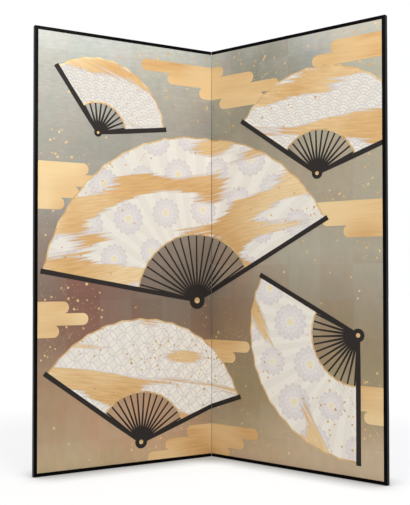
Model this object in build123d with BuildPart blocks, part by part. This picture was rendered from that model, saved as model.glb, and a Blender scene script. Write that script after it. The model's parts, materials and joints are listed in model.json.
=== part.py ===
from build123d import *

import math
import os

# Byobu: a folding screen of two panels, joined by paper hinges and standing in a V.
#
# Millimetres, +Z up. The origin is on the floor, at the middle of the screen's bounding box.
# The painted faces look towards -Y. The fold is at the back, over X = 0.
#
# Both panels are alike but mirrored, so each piece is drawn once on the left panel and mirrored
# over Plane.YZ for the right one. On the left panel:
#   u  runs out from the fold along the panel
#   v  runs from the front corner line of the fold back into the panel's depth
#   z  runs up from the floor

# ---- Driving dimensions -------------------------------------------------------------------------

PANEL_HEIGHT = 1720.0
PANEL_WIDTH = 780.0  # from the fold to the outer face of the frame
OPENING_ANGLE = 114.0  # between the painted faces, as the screen stands

FRAME_FACE = 13.5  # lacquered bar, seen from the front
FRAME_DEPTH = 20.0
FRAME_EASE = 0.8  # rounding of the bar's long edges
FRAME_FOLD_GAP = 0.6  # the rails stop this short of the fold
FRAME_PROUD = 1.0  # the frame stands this far in front of the picture

PICTURE_THICKNESS = 0.4
UNDERLAY_THICKNESS = 0.6
EDGE_PAPER_THICKNESS = 0.3

CORE_BAR = 30.0  # width of the core's stiles and rails
LATTICE_BAR = 12.0
UPRIGHTS = 4
CROSSBARS = 9
TENON_THICKNESS = 5.0
BRIDLE_LENGTH = 20.0  # tenons of the core's rails, in slots open at the stiles' ends
STUB_LENGTH = 8.0  # tenons of the lattice bars

PIN_RADIUS = 2.0
PIN_CLEARANCE = 0.05
PIN_END_GAP = 0.5
PIN_IN_FRAME = 7.0
PIN_IN_CORE = 16.0
RAIL_PINS = 4
RAIL_PIN_PITCH = 180.0
STILE_PINS = 7
STILE_PIN_PITCH = 240.0

HINGE_SLACK = 0.25  # from a face of the frame to the line that the panels turn about
HINGE_THICKNESS = 0.4
HINGE_SIDE_GAP = 0.2  # between a strip and the edge that it lies along
HINGE_STRIPS = 7  # counted up the fold: set A, set B, set A and so on
HINGE_STRIP_GAP = 1.0
FLAP_WIDTH = 32.0
FLAP_THICKNESS = 0.25
LIP_GAP = 0.05  # between a flap's lip and the strip that turns beside it
LIP_END = 0.1  # from the lip's end to the line that the panels turn about

# ---- Sizes that follow --------------------------------------------------------------------------

FRAME_FRONT = HINGE_SLACK
PICTURE_FRONT = FRAME_FRONT + FRAME_PROUD
UNDERLAY_FRONT = PICTURE_FRONT + PICTURE_THICKNESS
CORE_FRONT = UNDERLAY_FRONT + UNDERLAY_THICKNESS
FRAME_BACK = FRAME_FRONT + FRAME_DEPTH
BACK_PAPER_FRONT = FRAME_BACK - FRAME_PROUD - PICTURE_THICKNESS
CORE_BACK = BACK_PAPER_FRONT - UNDERLAY_THICKNESS
CORE_DEPTH = CORE_BACK - CORE_FRONT
CORE_MIDDLE = (CORE_FRONT + CORE_BACK) / 2
BACK_LINE = FRAME_BACK + HINGE_SLACK  # depth of the line that the panels turn about backwards

PAPER_EDGE = HINGE_THICKNESS / 2 + HINGE_SIDE_GAP  # u where each panel begins at the fold
LIP_EDGE = HINGE_THICKNESS / 2 + LIP_GAP
CORE_FOLD = PAPER_EDGE + EDGE_PAPER_THICKNESS
CORE_OUTER = PANEL_WIDTH - FRAME_FACE
CORE_BOTTOM = FRAME_FACE
CORE_TOP = PANEL_HEIGHT - FRAME_FACE

BAY_FOLD = CORE_FOLD + CORE_BAR
BAY_OUTER = CORE_OUTER - CORE_BAR
BAY_BOTTOM = CORE_BOTTOM + CORE_BAR
BAY_TOP = CORE_TOP - CORE_BAR
UPRIGHT_BAY = (BAY_OUTER - BAY_FOLD - UPRIGHTS * LATTICE_BAR) / (UPRIGHTS + 1)
CROSSBAR_BAY = (BAY_TOP - BAY_BOTTOM - CROSSBARS * LATTICE_BAR) / (CROSSBARS + 1)
UPRIGHT_STARTS = [BAY_FOLD + UPRIGHT_BAY + i * (UPRIGHT_BAY + LATTICE_BAR) for i in range(UPRIGHTS)]
CROSSBAR_STARTS = [BAY_BOTTOM + CROSSBAR_BAY + i * (CROSSBAR_BAY + LATTICE_BAR) for i in range(CROSSBARS)]

HINGE_PITCH = (CORE_TOP - CORE_BOTTOM + HINGE_STRIP_GAP) / HINGE_STRIPS
HINGE_LENGTH = HINGE_PITCH - HINGE_STRIP_GAP
SET_A = [CORE_BOTTOM + i * HINGE_PITCH for i in range(0, HINGE_STRIPS, 2)]
SET_B = [CORE_BOTTOM + i * HINGE_PITCH for i in range(1, HINGE_STRIPS, 2)]

SPLAY = math.radians((180.0 - OPENING_ANGLE) / 2)  # turn of each panel away from the X axis
SIN = math.sin(SPLAY)
COS = math.cos(SPLAY)

# The front corner line of the fold stands at Y = FOLD_Y, which puts the origin midway between the
# rounded front corners of the outer stiles and the back edges of the hinge strips.
FRONT_REACH = (PANEL_WIDTH - FRAME_EASE) * SIN - (FRAME_FRONT + FRAME_EASE) * COS + FRAME_EASE
BACK_REACH = BACK_LINE * COS + HINGE_THICKNESS / 2 * SIN
FOLD_Y = (FRONT_REACH - BACK_REACH) / 2

OUTWARDS = Vector(-COS, -SIN, 0)
BACKWARDS = Vector(-SIN, COS, 0)
FOLD_FOOT = Vector(0, FOLD_Y, 0)

FACE = Plane(origin=FOLD_FOOT, x_dir=OUTWARDS, z_dir=BACKWARDS)  # local x, y, z are u, z, v
PLAN = Plane(origin=FOLD_FOOT, x_dir=OUTWARDS, z_dir=(0, 0, 1))  # local x, y, z are u, -v, z
SIDE = Plane(origin=FOLD_FOOT, x_dir=-BACKWARDS, z_dir=OUTWARDS)  # local x, y, z are -v, z, u


def patch(u_from, u_to, z_from, z_to):
    """Add a rectangle to a sketch on FACE, given by its edges."""
    with Locations((u_from, z_from)):
        Rectangle(u_to - u_from, z_to - z_from, align=(Align.MIN, Align.MIN))


def save(part, name):
    """Label a finished piece and write it."""
    part.label = name
    export_step(part, f"parts/{name}.step")


def save_pair(part, name):
    """Write a piece for the left panel, and its mirror image for the right one."""
    save(part, f"left_{name}")
    with BuildPart() as twin:
        mirror(part, about=Plane.YZ)
    save(twin.part, f"right_{name}")


def save_right(part, name):
    """Write only the mirror image of a piece."""
    with BuildPart() as twin:
        mirror(part, about=Plane.YZ)
    save(twin.part, name)


# ---- Core: a softwood lattice in a frame ---------------------------------------------------------


def make_core_stiles():
    """Full-height stiles, with a slot at each end for the rails and blind mortises for the crossbars."""
    stiles = {
        "core_fold_stile": (CORE_FOLD, BAY_FOLD - BRIDLE_LENGTH, BAY_FOLD - STUB_LENGTH),
        "core_outer_stile": (BAY_OUTER, BAY_OUTER, BAY_OUTER),
    }
    for name, (u_from, slot_from, mortise_from) in stiles.items():
        with BuildPart() as stile:
            with BuildSketch(FACE.offset(CORE_FRONT)):
                patch(u_from, u_from + CORE_BAR, CORE_BOTTOM, CORE_TOP)
            extrude(amount=CORE_DEPTH)
            with BuildSketch(FACE.offset(CORE_MIDDLE)):
                patch(slot_from, slot_from + BRIDLE_LENGTH, CORE_BOTTOM, BAY_BOTTOM)
                patch(slot_from, slot_from + BRIDLE_LENGTH, BAY_TOP, CORE_TOP)
                for z_from in CROSSBAR_STARTS:
                    patch(mortise_from, mortise_from + STUB_LENGTH, z_from, z_from + LATTICE_BAR)
            extrude(amount=TENON_THICKNESS / 2, both=True, mode=Mode.SUBTRACT)
            if name == "core_outer_stile":
                with BuildSketch(SIDE.offset(CORE_OUTER)):
                    with Locations(*stile_pin_places()):
                        Circle(PIN_RADIUS + PIN_CLEARANCE)
                extrude(amount=-(PIN_IN_CORE + PIN_END_GAP), mode=Mode.SUBTRACT)
        save_pair(stile.part, name)


def make_core_rails():
    """Rails between the stiles, tenoned at both ends, with blind mortises for the uprights."""
    rails = {
        "core_bottom_rail": (CORE_BOTTOM, BAY_BOTTOM - STUB_LENGTH, CORE_BOTTOM, 1),
        "core_top_rail": (BAY_TOP, BAY_TOP, CORE_TOP, -1),
    }
    for name, (z_from, mortise_from, pinned_face, inwards) in rails.items():
        with BuildPart() as rail:
            with BuildSketch(FACE.offset(CORE_FRONT)):
                patch(BAY_FOLD, BAY_OUTER, z_from, z_from + CORE_BAR)
            extrude(amount=CORE_DEPTH)
            with BuildSketch(FACE.offset(CORE_MIDDLE)):
                patch(BAY_FOLD - BRIDLE_LENGTH, BAY_OUTER + BRIDLE_LENGTH, z_from, z_from + CORE_BAR)
            extrude(amount=TENON_THICKNESS / 2, both=True)
            with BuildSketch(FACE.offset(CORE_MIDDLE)):
                for u_from in UPRIGHT_STARTS:
                    patch(u_from, u_from + LATTICE_BAR, mortise_from, mortise_from + STUB_LENGTH)
            extrude(amount=TENON_THICKNESS / 2, both=True, mode=Mode.SUBTRACT)
            with BuildSketch(PLAN.offset(pinned_face)):
                with Locations(*rail_pin_places()):
                    Circle(PIN_RADIUS + PIN_CLEARANCE)
            extrude(amount=inwards * (PIN_IN_CORE + PIN_END_GAP), mode=Mode.SUBTRACT)
        save_pair(rail.part, name)


def make_lattice_uprights():
    """Upright bars, halved from behind where the crossbars pass."""
    for number, u_from in enumerate(UPRIGHT_STARTS, start=1):
        u_to = u_from + LATTICE_BAR
        with BuildPart() as upright:
            with BuildSketch(FACE.offset(CORE_FRONT)):
                patch(u_from, u_to, BAY_BOTTOM, BAY_TOP)
            extrude(amount=CORE_DEPTH)
            with BuildSketch(FACE.offset(CORE_MIDDLE)):
                for z_from in CROSSBAR_STARTS:
                    patch(u_from, u_to, z_from, z_from + LATTICE_BAR)
            extrude(amount=CORE_DEPTH / 2, mode=Mode.SUBTRACT)
            with BuildSketch(FACE.offset(CORE_MIDDLE)):
                patch(u_from, u_to, BAY_BOTTOM - STUB_LENGTH, BAY_BOTTOM)
                patch(u_from, u_to, BAY_TOP, BAY_TOP + STUB_LENGTH)
            extrude(amount=TENON_THICKNESS / 2, both=True)
        save_pair(upright.part, f"lattice_upright_{number}")


def make_lattice_crossbars():
    """Level bars, halved from the front where the uprights pass."""
    for number, z_from in enumerate(CROSSBAR_STARTS, start=1):
        z_to = z_from + LATTICE_BAR
        with BuildPart() as crossbar:
            with BuildSketch(FACE.offset(CORE_FRONT)):
                patch(BAY_FOLD, BAY_OUTER, z_from, z_to)
            extrude(amount=CORE_DEPTH)
            with BuildSketch(FACE.offset(CORE_FRONT)):
                for u_from in UPRIGHT_STARTS:
                    patch(u_from, u_from + LATTICE_BAR, z_from, z_to)
            extrude(amount=CORE_DEPTH / 2, mode=Mode.SUBTRACT)
            with BuildSketch(FACE.offset(CORE_MIDDLE)):
                patch(BAY_FOLD - STUB_LENGTH, BAY_FOLD, z_from, z_to)
                patch(BAY_OUTER, BAY_OUTER + STUB_LENGTH, z_from, z_to)
            extrude(amount=TENON_THICKNESS / 2, both=True)
        save_pair(crossbar.part, f"lattice_crossbar_{number}")


# ---- Papers --------------------------------------------------------------------------------------


def make_underlays():
    """Pasted papers over the core, recessed at the fold for the hinge flaps.

    The left front and the right back take the flaps of set A. The right front and the left back take
    those of set B. A pocket lies on the side that faces away from the core.
    """
    underlays = {
        "front_underlay": (UNDERLAY_FRONT, UNDERLAY_FRONT, SET_A, SET_B),
        "back_underlay": (CORE_BACK, BACK_PAPER_FRONT - FLAP_THICKNESS, SET_B, SET_A),
    }
    for name, (v_from, pocket_from, left_set, right_set) in underlays.items():
        for side, pockets in (("left", left_set), ("right", right_set)):
            with BuildPart() as underlay:
                with BuildSketch(FACE.offset(v_from)):
                    patch(PAPER_EDGE, CORE_OUTER, CORE_BOTTOM, CORE_TOP)
                extrude(amount=UNDERLAY_THICKNESS)
                with BuildSketch(FACE.offset(pocket_from)):
                    for z_from in pockets:
                        patch(PAPER_EDGE, PAPER_EDGE + FLAP_WIDTH, z_from, z_from + HINGE_LENGTH)
                extrude(amount=FLAP_THICKNESS, mode=Mode.SUBTRACT)
            if side == "left":
                save(underlay.part, f"left_{name}")
            else:
                save_right(underlay.part, f"right_{name}")


def make_face_papers():
    """The picture sheet on the front and the patterned paper on the back."""
    for name, v_from in (("picture_sheet", PICTURE_FRONT), ("back_paper", BACK_PAPER_FRONT)):
        with BuildPart() as sheet:
            with BuildSketch(FACE.offset(v_from)):
                patch(PAPER_EDGE, CORE_OUTER, CORE_BOTTOM, CORE_TOP)
            extrude(amount=PICTURE_THICKNESS)
        save_pair(sheet.part, name)


def make_fold_edge_paper():
    """A strip of paper over the bare edge of the fold stile."""
    with BuildPart() as strip:
        with BuildSketch(FACE.offset(CORE_FRONT)):
            patch(PAPER_EDGE, CORE_FOLD, CORE_BOTTOM, CORE_TOP)
        extrude(amount=CORE_DEPTH)
    save_pair(strip.part, "fold_edge_paper")


# ---- Lacquered frame and its pins ---------------------------------------------------------------


def rail_pin_places():
    """Pin places along a rail, on PLAN."""
    middle = PANEL_WIDTH / 2
    first = middle - (RAIL_PINS - 1) / 2 * RAIL_PIN_PITCH
    return [(first + i * RAIL_PIN_PITCH, -CORE_MIDDLE) for i in range(RAIL_PINS)]


def stile_pin_places():
    """Pin places up the outer stile, on SIDE."""
    middle = PANEL_HEIGHT / 2
    first = middle - (STILE_PINS - 1) / 2 * STILE_PIN_PITCH
    return [(-CORE_MIDDLE, first + i * STILE_PIN_PITCH) for i in range(STILE_PINS)]


def make_frame_rails():
    """Top and bottom bars of the frame, mitred at the outer corner and cut square at the fold."""
    rails = {
        "frame_bottom_rail": (0.0, FRAME_FACE, -1),
        "frame_top_rail": (PANEL_HEIGHT, CORE_TOP, 1),
    }
    for name, (z_outer, z_inner, outwards) in rails.items():
        with BuildPart() as rail:
            with BuildSketch(FACE.offset(FRAME_FRONT)):
                with BuildLine():
                    Polyline(
                        (FRAME_FOLD_GAP, z_outer),
                        (PANEL_WIDTH, z_outer),
                        (CORE_OUTER, z_inner),
                        (FRAME_FOLD_GAP, z_inner),
                        close=True,
                    )
                make_face()
            extrude(amount=FRAME_DEPTH)
            fillet(rail.edges().filter_by(Axis((0, 0, 0), OUTWARDS)), radius=FRAME_EASE)
            with BuildSketch(PLAN.offset(z_inner)):
                with Locations(*rail_pin_places()):
                    Circle(PIN_RADIUS + PIN_CLEARANCE)
            extrude(amount=outwards * (PIN_IN_FRAME + PIN_END_GAP), mode=Mode.SUBTRACT)
        save_pair(rail.part, name)


def make_frame_outer_stile():
    """The outer bar of the frame, mitred at both ends."""
    with BuildPart() as stile:
        with BuildSketch(FACE.offset(FRAME_FRONT)):
            with BuildLine():
                Polyline(
                    (PANEL_WIDTH, 0.0),
                    (PANEL_WIDTH, PANEL_HEIGHT),
                    (CORE_OUTER, CORE_TOP),
                    (CORE_OUTER, CORE_BOTTOM),
                    close=True,
                )
            make_face()
        extrude(amount=FRAME_DEPTH)
        fillet(stile.edges().filter_by(Axis.Z), radius=FRAME_EASE)
        with BuildSketch(SIDE.offset(CORE_OUTER)):
            with Locations(*stile_pin_places()):
                Circle(PIN_RADIUS + PIN_CLEARANCE)
        extrude(amount=PIN_IN_FRAME + PIN_END_GAP, mode=Mode.SUBTRACT)
    save_pair(stile.part, "frame_outer_stile")


def make_frame_pins():
    """Blind wooden pins between the frame and the core: one set for each bar."""
    with BuildPart() as pins:
        with BuildSketch(PLAN.offset(CORE_BOTTOM - PIN_IN_FRAME)):
            with Locations(*rail_pin_places()):
                Circle(PIN_RADIUS)
        extrude(amount=PIN_IN_FRAME + PIN_IN_CORE)
        with BuildSketch(PLAN.offset(CORE_TOP - PIN_IN_CORE)):
            with Locations(*rail_pin_places()):
                Circle(PIN_RADIUS)
        extrude(amount=PIN_IN_FRAME + PIN_IN_CORE)
        with BuildSketch(SIDE.offset(CORE_OUTER - PIN_IN_CORE)):
            with Locations(*stile_pin_places()):
                Circle(PIN_RADIUS)
        extrude(amount=PIN_IN_FRAME + PIN_IN_CORE)
    save_pair(pins.part, "frame_pins")


# ---- Paper hinge ---------------------------------------------------------------------------------


def make_hinge_strips():
    """Strips that pass through the fold, each set from one panel's front to the other's back.

    As the screen stands, the front corner lines of the panels meet. Set A lies along the right
    panel's edge and set B along the left panel's edge, at alternate heights.
    """
    for name, starts in (("hinge_strips_a", SET_A), ("hinge_strips_b", SET_B)):
        with BuildPart() as strips:
            with BuildSketch(FACE):
                for z_from in starts:
                    patch(-HINGE_THICKNESS / 2, HINGE_THICKNESS / 2, z_from, z_from + HINGE_LENGTH)
            extrude(amount=BACK_LINE)
        if name == "hinge_strips_a":
            save_right(strips.part, name)
        else:
            save(strips.part, name)


def make_hinge_flaps():
    """The strips' ends, pasted into the underlays' recesses under the face papers.

    A lip on each flap stands out past the face paper to the line that the panels turn about, where
    it meets the strip and closes the fold.
    """
    lip_reach = UNDERLAY_FRONT + FLAP_THICKNESS - LIP_END
    back_flap = BACK_PAPER_FRONT - FLAP_THICKNESS
    flaps = {
        "front_hinge_flaps": (UNDERLAY_FRONT, LIP_END, SET_A, SET_B),
        "back_hinge_flaps": (back_flap, back_flap, SET_B, SET_A),
    }
    for name, (v_from, lip_from, left_set, right_set) in flaps.items():
        for side, starts in (("left", left_set), ("right", right_set)):
            with BuildPart() as flap:
                with BuildSketch(FACE.offset(v_from)):
                    for z_from in starts:
                        patch(PAPER_EDGE, PAPER_EDGE + FLAP_WIDTH, z_from, z_from + HINGE_LENGTH)
                extrude(amount=FLAP_THICKNESS)
                with BuildSketch(FACE.offset(lip_from)):
                    for z_from in starts:
                        patch(LIP_EDGE, PAPER_EDGE, z_from, z_from + HINGE_LENGTH)
                extrude(amount=lip_reach)
            if side == "left":
                save(flap.part, f"left_{name}")
            else:
                save_right(flap.part, f"right_{name}")


os.makedirs("parts", exist_ok=True)
make_core_stiles()
make_core_rails()
make_lattice_uprights()
make_lattice_crossbars()
make_underlays()
make_face_papers()
make_fold_edge_paper()
make_frame_rails()
make_frame_outer_stile()
make_frame_pins()
make_hinge_strips()
make_hinge_flaps()

print(f"front corner line at Y {FOLD_Y:.4f}")
print(f"back corner lines at X -/+{BACK_LINE * SIN:.4f}, Y {FOLD_Y + BACK_LINE * COS:.4f}")
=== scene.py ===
"""A folding screen of two panels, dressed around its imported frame.

Panel space is used for everything that lies on a panel. It is in millimetres: x runs along the screen as if
it were opened flat, negative on the left panel and positive on the right one, y runs up from the floor, and
z comes out of the painted face, from the corner line that the panels fold forwards about.
"""

from __future__ import annotations

import json
import logging
import math
import random
from dataclasses import dataclass, field
from enum import Enum
from typing import Any

import bmesh
import bpy
from mathutils import Matrix, Vector


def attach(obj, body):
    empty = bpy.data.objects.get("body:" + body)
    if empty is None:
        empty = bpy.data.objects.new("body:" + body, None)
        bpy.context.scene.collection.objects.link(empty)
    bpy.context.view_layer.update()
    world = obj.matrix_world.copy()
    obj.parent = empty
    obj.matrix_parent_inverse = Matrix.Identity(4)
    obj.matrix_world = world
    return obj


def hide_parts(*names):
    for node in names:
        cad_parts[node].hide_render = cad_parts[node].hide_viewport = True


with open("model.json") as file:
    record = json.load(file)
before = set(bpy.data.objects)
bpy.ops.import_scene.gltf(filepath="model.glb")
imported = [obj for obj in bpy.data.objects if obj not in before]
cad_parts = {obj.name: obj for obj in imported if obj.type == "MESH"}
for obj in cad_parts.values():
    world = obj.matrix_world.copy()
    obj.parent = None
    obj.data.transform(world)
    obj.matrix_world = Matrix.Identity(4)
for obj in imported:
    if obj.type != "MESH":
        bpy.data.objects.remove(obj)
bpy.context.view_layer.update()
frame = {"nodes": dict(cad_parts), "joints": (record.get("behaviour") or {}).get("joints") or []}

LOG = logging.getLogger("byobu")

MM = 0.001
OPENING_ANGLE = 114.0
PANEL_WIDTH = 780.0
PANEL_HEIGHT = 1720.0
FRAME_FACE = 13.5
FRAME_DEPTH = 20.0
FRAME_FRONT = -0.25
SHEET_FRONT = -1.25
FOLD_LINE = Vector(frame["joints"][0]["pos_m"])

Material = bpy.types.Material
Mesh = bmesh.types.BMesh
Triple = tuple[float, float, float]
Tones = tuple[tuple[float, str], ...]


class Side(Enum):
    """The two panels, with the sign of x on each in panel space."""

    LEFT = -1
    RIGHT = 1

    @property
    def prefix(self) -> str:
        """Start of the names of the panel's pieces."""
        return self.name.lower()

    @property
    def splay(self) -> float:
        """Turn from the row frame to panel space about the upright axis, in radians."""
        return self.value * math.radians((180.0 - OPENING_ANGLE) / 2)

    def placing(self) -> Matrix:
        """Give the way from panel space to the row frame.

        Returns:
            A matrix that ends in metres.
        """
        along = Vector((math.cos(self.splay), -math.sin(self.splay), 0.0))
        upright = Vector((0.0, 0.0, 1.0))
        axes = Matrix((along, upright, along.cross(upright))).transposed().to_4x4()
        return Matrix.Translation(FOLD_LINE) @ axes @ Matrix.Scale(MM, 4)


# ---- Shading ----


def linear(code: str) -> tuple[float, float, float, float]:
    """Turn an sRGB hex colour into linear light.

    Args:
        code: Six hex digits.

    Returns:
        Red, green, blue and an alpha of 1.
    """
    parts = [int(code[i : i + 2], 16) / 255 for i in (0, 2, 4)]
    light = [c / 12.92 if c <= 0.04045 else ((c + 0.055) / 1.055) ** 2.4 for c in parts]
    return light[0], light[1], light[2], 1.0


def sums(kind: str, operation: str, feeds: int = 2, out: int = 0) -> tuple[Any, ...]:
    """Describe a kind of node by its operation and how many values feed it."""
    return kind, tuple(range(feeds)), out, {"operation": operation}


class Node(Enum):
    """Kinds of node: Blender's type, the inputs that are fed in order, the output taken, and settings."""

    ADD = sums("Math", "ADD")
    SUBTRACT = sums("Math", "SUBTRACT")
    MULTIPLY = sums("Math", "MULTIPLY")
    DIVIDE = sums("Math", "DIVIDE")
    MULTIPLY_ADD = sums("Math", "MULTIPLY_ADD", 3)
    POWER = sums("Math", "POWER")
    LARGER = sums("Math", "MAXIMUM")
    BELOW = sums("Math", "LESS_THAN")
    ABOVE = sums("Math", "GREATER_THAN")
    NEAR = sums("Math", "COMPARE", 3)
    FLOOR = sums("Math", "FLOOR", 1)
    FRACT = sums("Math", "FRACT", 1)
    ABSOLUTE = sums("Math", "ABSOLUTE", 1)
    COSINE = sums("Math", "COSINE", 1)
    ARCTAN2 = sums("Math", "ARCTAN2")
    WRAP = sums("Math", "WRAP", 3)
    MOVED = sums("VectorMath", "ADD")
    TIMES = sums("VectorMath", "MULTIPLY")
    SCALED = sums("VectorMath", "DIVIDE")
    BENT = sums("VectorMath", "MULTIPLY_ADD", 3)
    LENGTH = sums("VectorMath", "LENGTH", 1, 1)
    JOIN = ("CombineXYZ", (0, 1, 2), 0, {})
    X = ("SeparateXYZ", (0,), 0, {})
    Y = ("SeparateXYZ", (0,), 1, {})
    Z = ("SeparateXYZ", (0,), 2, {})
    FADE = ("MapRange", (0, 1, 2, 3, 4), 0, {})
    EASE = ("MapRange", (0, 1, 2, 3, 4), 0, {"interpolation_type": "SMOOTHSTEP"})
    TINT = ("Mix", (0, 6, 7), 2, {"data_type": "RGBA"})
    STAIN = ("Mix", (0, 6, 7), 2, {"data_type": "RGBA", "blend_type": "MULTIPLY"})
    CHOOSE = ("Mix", (0, 2, 3), 0, {})
    RAMP = ("ValToRGB", (0,), 0, {})
    HUE = ("HueSaturation", (0, 1, 2, 3, 4), 0, {})
    MOTTLE = ("TexNoise", ("Vector", "Scale", "Detail"), 0, {})
    SWIRL = ("TexNoise", ("Vector", "Scale", "Detail"), 1, {})
    CELLS = ("TexVoronoi", ("Vector", "Scale"), "Distance", {})
    CHANCE = ("TexWhiteNoise", (0,), 0, {"noise_dimensions": "3D"})
    CHANCES = ("TexWhiteNoise", (0,), 1, {"noise_dimensions": "3D"})
    PLACE = ("TexCoord", (), "Object", {})
    FLAT = ("UVMap", (), 0, {"uv_map": "flat"})
    MAPPING = ("Mapping", ("Vector", "Location", "Rotation", "Scale"), 0, {"vector_type": "POINT"})
    BUMP = ("Bump", ("Strength", "Distance", "Height"), 0, {})
    SHELTER = ("AmbientOcclusion", ("Distance",), "AO", {"samples": 24})
    CAMERA_RAY = ("LightPath", (), "Is Camera Ray", {})
    GLOSSY_RAY = ("LightPath", (), "Is Glossy Ray", {})
    TRANSMISSION_RAY = ("LightPath", (), "Is Transmission Ray", {})
    AIR = ("Background", ("Color", "Strength"), 0, {})
    SURFACE = ("BsdfPrincipled", (), 0, {})

    def __call__(self, *feeds: Any, stops: Tones = (), **named: Any) -> Step:
        """Plan a node, fed in order and by name, with underscores for the spaces of a name."""
        return Step(self, feeds, stops, named)


@dataclass(frozen=True, eq=False)
class Step:
    """A planned node: what feeds it is other steps, numbers, vectors and hex colours."""

    kind: Node
    feeds: tuple[Any, ...]
    stops: Tones  # places and colours of a ramp
    named: dict[str, Any]


@dataclass
class Tree:
    """The tree of a material or a world. A step is one node in it, however many others it feeds."""

    tree: bpy.types.NodeTree
    made: dict[Step, bpy.types.NodeSocket] = field(default_factory=dict)

    def add(self, step: Step) -> bpy.types.NodeSocket:
        """Add a node with its settings and links, and the nodes that feed it.

        Args:
            step: The planned node.

        Returns:
            Its usual output.
        """
        if step in self.made:
            return self.made[step]
        blender_type, order, out, settings = step.kind.value
        node = self.tree.nodes.new(f"ShaderNode{blender_type}")
        for key, value in settings.items():
            setattr(node, key, value)
        named = {key.replace("_", " "): value for key, value in step.named.items()}
        for key, value in (dict(zip(order, step.feeds)) | named).items():
            if isinstance(value, Step):
                self.tree.links.new(self.add(value), node.inputs[key])
            else:
                node.inputs[key].default_value = linear(value) if isinstance(value, str) else value
        for number, (place, colour) in enumerate(step.stops):
            elements = node.color_ramp.elements
            stop = elements[number] if number < 2 else elements.new(place)
            stop.position, stop.color = place, linear(colour)
        self.made[step] = node.outputs[out]
        return self.made[step]

    def fill(self, shader: Step, output: str = "ShaderNodeOutputMaterial") -> None:
        """Empty the tree, then lead a shader and all that feeds it to an output."""
        self.tree.nodes.clear()
        self.tree.links.new(self.add(shader), self.tree.nodes.new(output).inputs[0])


HERE = Node.TIMES(Node.PLACE(), (1 / MM,) * 3)  # place on the piece, in millimetres
FLAT = Node.FLAT()  # place on a painted shape before it was laid, in millimetres
ACROSS, RISE = Node.X(FLAT), Node.Y(FLAT)
# Masks the rays that see the room: from the camera, off gloss and through glass
SEEN = Node.LARGER(Node.LARGER(Node.CAMERA_RAY(), Node.GLOSSY_RAY()), Node.TRANSMISSION_RAY())


def on_panel(side: Side) -> Step:
    """Give the place on a panel in millimetres: x along it, y into its depth and z up."""
    foot = Matrix.Rotation(side.splay, 3, "Z") @ FOLD_LINE / MM
    return Node.MAPPING(Node.PLACE(), -foot, (0.0, 0.0, side.splay), (1 / MM,) * 3)


def linked_circles(x: Step, y: Step, radius: float, line: float) -> Step:
    """Mask the lines of linked circles, each crossed by its four neighbours.

    Args:
        x: Place across.
        y: Place up.
        radius: Radius of the circles.
        line: Half the width of their lines.

    Returns:
        A mask.
    """
    rings = []
    for offset in (0.0, radius):
        sides = [Node.WRAP(Node.ADD(v, offset), radius, -radius) for v in (x, y)]
        rings.append(Node.NEAR(Node.LENGTH(Node.JOIN(*sides)), radius, line))
    return Node.LARGER(*rings)


class Finish:
    """What a surface is made of."""

    name: str

    def surface(self) -> dict[str, Any]:
        """Give what feeds the surface shader, with underscores for the spaces of its inputs' names."""
        raise NotImplementedError

    def material(self) -> Material:
        """Build the material.

        Returns:
            The material, named for the finish.
        """
        material = bpy.data.materials.new(self.name)
        material.use_nodes = True
        Tree(material.node_tree).fill(Node.SURFACE(**self.surface()))
        return material


# ---- Finishes ----


@dataclass(frozen=True)
class BlackLacquer(Finish):
    """Polished black lacquer on wood: deep black, mirror smooth, a breath of brown where it thins."""

    name: str = "polished_black_lacquer"
    body: str = "060505"
    thin: str = "120C0A"
    patch: float = 70.0  # size of the thin places
    ripple: float = 26.0  # width of the slow waves left by polishing
    dust: float = 2.2  # size of the finest marks

    def surface(self) -> dict[str, Any]:
        """Mix the finish.

        Returns:
            What feeds the shader, by input.
        """
        thinning = Node.FADE(Node.MOTTLE(HERE, 1 / self.patch, 3.0), 0.5, 0.75, 0.0, 0.7)
        waves = Node.MOTTLE(HERE, 1 / self.ripple, 1.0)
        dust = Node.MOTTLE(HERE, 1 / self.dust, 2.0)
        return {
            "Base_Color": Node.TINT(thinning, self.body, self.thin),
            "Roughness": Node.FADE(dust, 0.3, 0.7, 0.15, 0.23),
            "Specular_IOR_Level": 0.035,
            "Normal": Node.BUMP(0.12, 0.0003, Node.MULTIPLY_ADD(dust, 0.12, waves)),
        }


@dataclass(frozen=True)
class TonePatch:
    """A soft patch that changes the leaf's tone: some are tarnish, some painted shade, one a painted
    highlight.
    """

    middle: tuple[float, float]
    spread: tuple[float, float]
    stain: Triple  # linear light that the leaf keeps
    ragged: float = 170.0  # size of the turns of its edge

    def over(self, colour: Step, place: Step) -> Step:
        """Lay the patch over the colour.

        Args:
            colour: Colour so far.
            place: Place on the panel.

        Returns:
            The colour with its patch.
        """
        (x, z), (width, height) = self.middle, self.spread
        away = Node.LENGTH(Node.TIMES(Node.MOVED(place, (-x, 0.0, -z)), (1 / width, 0.0, 1 / height)))
        away = Node.MULTIPLY_ADD(Node.MOTTLE(place, 1 / self.ragged, 2.0), 0.4, away)
        return Node.STAIN(Node.EASE(away, 0.25, 1.2, 1.0, 0.0), colour, (*self.stain, 1.0))


@dataclass(frozen=True)
class Tarnish:
    """How the silver leaf of one panel is toned: tarnish, with painted light and shade laid into its colour.
    """

    tones: Tones  # from the floor up: share of the panel's height, and colour; partly tarnish, partly painted light, the pale top standing for reflected light
    tone_patches: tuple[TonePatch, ...]
    creases: float  # how far the fine upright creases near the top leave the tone


# Each panel's leaf tones: tarnish mixed with painted light and shade
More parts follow.
